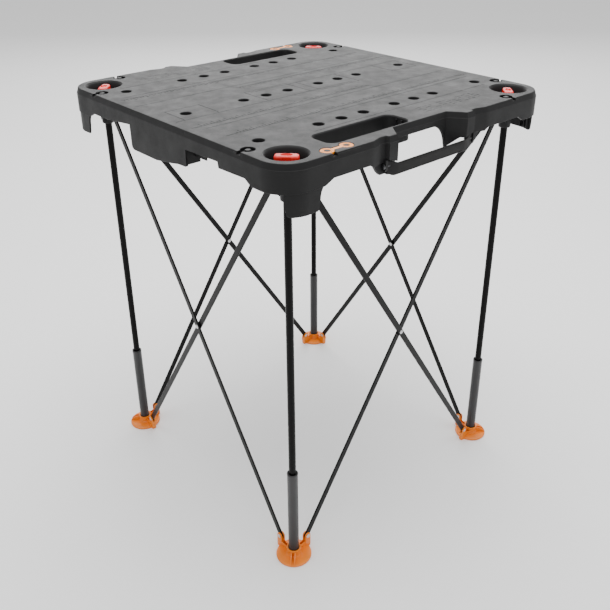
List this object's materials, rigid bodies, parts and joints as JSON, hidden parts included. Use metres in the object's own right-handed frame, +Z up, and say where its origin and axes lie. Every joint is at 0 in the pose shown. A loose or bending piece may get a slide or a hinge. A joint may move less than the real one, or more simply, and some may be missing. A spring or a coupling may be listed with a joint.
{
  "type": "folding work table sawhorse",
  "caption": "Square moulded work top with dog holes on telescoping legs joined by crossing scissor bars, folding to a bundle.",
  "frame": {"origin": "on the floor under the middle of the top", "axes": "+Z up; X runs along the two edges with the bails, Y along the two edges with the deep middle skirt"},
  "size_m": [0.64, 0.64, 0.8],
  "materials": {
    "top_plastic": "fine matt texture",
    "knob_plastic": "satin moulded",
    "spindle_steel": "zinc plated",
    "bail_plastic": "matt moulded",
    "clip_plastic": "satin moulded",
    "tube_enamel": "satin black enamel",
    "head_plastic": "matt moulded",
    "sleeve_enamel": "satin dark grey enamel",
    "bar_enamel": "satin black enamel",
    "foot_plastic": "satin moulded",
    "rivet_steel": "bright zinc"
  },
  "bodies": {
    "table": {"tabletop": "top_plastic", "bail_pin_front_left": "rivet_steel", "bail_pin_front_right": "rivet_steel", "bail_pin_back_left": "rivet_steel", "bail_pin_back_right": "rivet_steel"},
    "knob_1": {"knob_1": "knob_plastic", "knob_spindle_1": "spindle_steel"},
    "knob_2": {"knob_2": "knob_plastic", "knob_spindle_2": "spindle_steel"},
    "knob_3": {"knob_3": "knob_plastic", "knob_spindle_3": "spindle_steel"},
    "knob_4": {"knob_4": "knob_plastic", "knob_spindle_4": "spindle_steel"},
    "bail_front": {"bail_front": "bail_plastic"},
    "clip_front": {"clip_front": "clip_plastic"},
    "bail_back": {"bail_back": "bail_plastic"},
    "clip_back": {"clip_back": "clip_plastic"},
    "post_1": {"leg_tube_1": "tube_enamel", "leg_head_1": "head_plastic"},
    "foot_1": {"foot_1": "foot_plastic", "leg_sleeve_1": "sleeve_enamel", "foot_rivet_1a": "rivet_steel", "foot_rivet_1b": "rivet_steel"},
    "post_2": {"leg_tube_2": "tube_enamel", "leg_head_2": "head_plastic"},
    "foot_2": {"foot_2": "foot_plastic", "leg_sleeve_2": "sleeve_enamel", "foot_rivet_2a": "rivet_steel", "foot_rivet_2b": "rivet_steel"},
    "post_3": {"leg_tube_3": "tube_enamel", "leg_head_3": "head_plastic"},
    "foot_3": {"foot_3": "foot_plastic", "leg_sleeve_3": "sleeve_enamel", "foot_rivet_3a": "rivet_steel", "foot_rivet_3b": "rivet_steel"},
    "post_4": {"leg_tube_4": "tube_enamel", "leg_head_4": "head_plastic"},
    "foot_4": {"foot_4": "foot_plastic", "leg_sleeve_4": "sleeve_enamel", "foot_rivet_4a": "rivet_steel", "foot_rivet_4b": "rivet_steel"},
    "bar_1_to_2": {"bar_1_to_2": "bar_enamel", "cross_rivet_1": "rivet_steel"},
    "bar_2_to_1": {"bar_2_to_1": "bar_enamel"},
    "bar_2_to_3": {"bar_2_to_3": "bar_enamel", "cross_rivet_2": "rivet_steel"},
    "bar_3_to_2": {"bar_3_to_2": "bar_enamel"},
    "bar_3_to_4": {"bar_3_to_4": "bar_enamel"},
    "bar_4_to_3": {"bar_4_to_3": "bar_enamel", "cross_rivet_3": "rivet_steel"},
    "bar_4_to_1": {"bar_4_to_1": "bar_enamel"},
    "bar_1_to_4": {"bar_1_to_4": "bar_enamel", "cross_rivet_4": "rivet_steel"}
  },
  "joints": [
    {"name": "frame_travel", "type": "slide", "parent": "table", "child": "post_1", "axis": [0.7071, 0.7071, 0], "range_m": [0, 0.3051]},
    {"name": "leg_fold", "type": "hinge", "parent": "post_1", "child": "bar_1_to_2", "pos_m": [-0.236, -0.2726, 0.7465], "axis": [0, 1, 0], "range_deg": [0, 30.5]},
    {"name": "foot_pivot_2", "type": "hinge", "parent": "bar_1_to_2", "child": "foot_2", "pos_m": [0.236, -0.2726, 0.0255], "axis": [0, 1, 0], "range_deg": [-30.5, 0]},
    {"name": "cross_2_to_1", "type": "hinge", "parent": "bar_1_to_2", "child": "bar_2_to_1", "pos_m": [0, -0.2726, 0.386], "axis": [0, 1, 0], "range_deg": [-61, 0]},
    {"name": "foot_pivot_1", "type": "hinge", "parent": "bar_2_to_1", "child": "foot_1", "pos_m": [-0.236, -0.2684, 0.0255], "axis": [0, -1, 0], "range_deg": [-30.5, 0]},
    {"name": "head_pivot_2", "type": "hinge", "parent": "bar_2_to_1", "child": "post_2", "pos_m": [0.236, -0.2684, 0.7465], "axis": [0, -1, 0], "range_deg": [-30.5, 0]},
    {"name": "bar_pivot_2_to_3", "type": "hinge", "parent": "post_2", "child": "bar_2_to_3", "pos_m": [0.2726, -0.236, 0.7465], "axis": [-1, 0, 0], "range_deg": [0, 30.5]},
    {"name": "foot_pivot_3", "type": "hinge", "parent": "bar_2_to_3", "child": "foot_3", "pos_m": [0.2726, 0.236, 0.0255], "axis": [-1, 0, 0], "range_deg": [-30.5, 0]},
    {"name": "cross_3_to_2", "type": "hinge", "parent": "bar_2_to_3", "child": "bar_3_to_2", "pos_m": [0.2726, 0, 0.386], "axis": [-1, 0, 0], "range_deg": [-61, 0]},
    {"name": "head_pivot_3", "type": "hinge", "parent": "bar_3_to_2", "child": "post_3", "pos_m": [0.2684, 0.236, 0.7465], "axis": [1, 0, 0], "range_deg": [-30.5, 0]},
    {"name": "bar_pivot_1_to_4", "type": "hinge", "parent": "post_1", "child": "bar_1_to_4", "pos_m": [-0.2684, -0.236, 0.7465], "axis": [-1, 0, 0], "range_deg": [0, 30.5]},
    {"name": "foot_pivot_4", "type": "hinge", "parent": "bar_1_to_4", "child": "foot_4", "pos_m": [-0.2684, 0.236, 0.0255], "axis": [-1, 0, 0], "range_deg": [-30.5, 0]},
    {"name": "cross_4_to_1", "type": "hinge", "parent": "bar_1_to_4", "child": "bar_4_to_1", "pos_m": [-0.2684, 0, 0.386], "axis": [-1, 0, 0], "range_deg": [-61, 0]},
    {"name": "head_pivot_4", "type": "hinge", "parent": "bar_4_to_1", "child": "post_4", "pos_m": [-0.2726, 0.236, 0.7465], "axis": [1, 0, 0], "range_deg": [-30.5, 0]},
    {"name": "bar_pivot_4_to_3", "type": "hinge", "parent": "post_4", "child": "bar_4_to_3", "pos_m": [-0.236, 0.2684, 0.7465], "axis": [0, 1, 0], "range_deg": [0, 30.5]},
    {"name": "cross_3_to_4", "type": "hinge", "parent": "bar_4_to_3", "child": "bar_3_to_4", "pos_m": [0, 0.2684, 0.386], "axis": [0, 1, 0], "range_deg": [-61, 0]},
    {"name": "knob_turn_1", "type": "hinge", "parent": "table", "child": "knob_1", "pos_m": [-0.269, -0.269, 0.79], "axis": [0, 0, 1], "range_deg": [0, 90]},
    {"name": "knob_turn_2", "type": "hinge", "parent": "table", "child": "knob_2", "pos_m": [0.269, -0.269, 0.79], "axis": [0, 0, 1], "range_deg": [0, 90]},
    {"name": "knob_turn_3", "type": "hinge", "parent": "table", "child": "knob_3", "pos_m": [0.269, 0.269, 0.79], "axis": [0, 0, 1], "range_deg": [0, 90]},
    {"name": "knob_turn_4", "type": "hinge", "parent": "table", "child": "knob_4", "pos_m": [-0.269, 0.269, 0.79], "axis": [0, 0, 1], "range_deg": [0, 90]},
    {"name": "bail_swing_front", "type": "hinge", "parent": "table", "child": "bail_front", "pos_m": [0, -0.315, 0.752], "axis": [-1, 0, 0], "range_deg": [0, 90]},
    {"name": "bail_swing_back", "type": "hinge", "parent": "table", "child": "bail_back", "pos_m": [0, 0.315, 0.752], "axis": [1, 0, 0], "range_deg": [0, 90]},
    {"name": "clip_lift_front", "type": "slide", "parent": "table", "child": "clip_front", "axis": [0, 0, 1], "range_m": [0, 0.03]},
    {"name": "clip_lift_back", "type": "slide", "parent": "table", "child": "clip_back", "axis": [0, 0, 1], "range_m": [0, 0.03]}
  ],
  "couplings": [
    {"joint": "frame_travel", "follows": "leg_fold", "m_per_rad": 0.5728},
    {"joint": "foot_pivot_2", "follows": "leg_fold", "ratio": -1},
    {"joint": "cross_2_to_1", "follows": "leg_fold", "ratio": -2},
    {"joint": "foot_pivot_1", "follows": "leg_fold", "ratio": -1},
    {"joint": "head_pivot_2", "follows": "leg_fold", "ratio": -1},
    {"joint": "bar_pivot_2_to_3", "follows": "leg_fold", "ratio": 1},
    {"joint": "foot_pivot_3", "follows": "leg_fold", "ratio": -1},
    {"joint": "cross_3_to_2", "follows": "leg_fold", "ratio": -2},
    {"joint": "head_pivot_3", "follows": "leg_fold", "ratio": -1},
    {"joint": "bar_pivot_1_to_4", "follows": "leg_fold", "ratio": 1},
    {"joint": "foot_pivot_4", "follows": "leg_fold", "ratio": -1},
    {"joint": "cross_4_to_1", "follows": "leg_fold", "ratio": -2},
    {"joint": "head_pivot_4", "follows": "leg_fold", "ratio": -1},
    {"joint": "bar_pivot_4_to_3", "follows": "leg_fold", "ratio": 1},
    {"joint": "cross_3_to_4", "follows": "leg_fold", "ratio": -2}
  ]
}
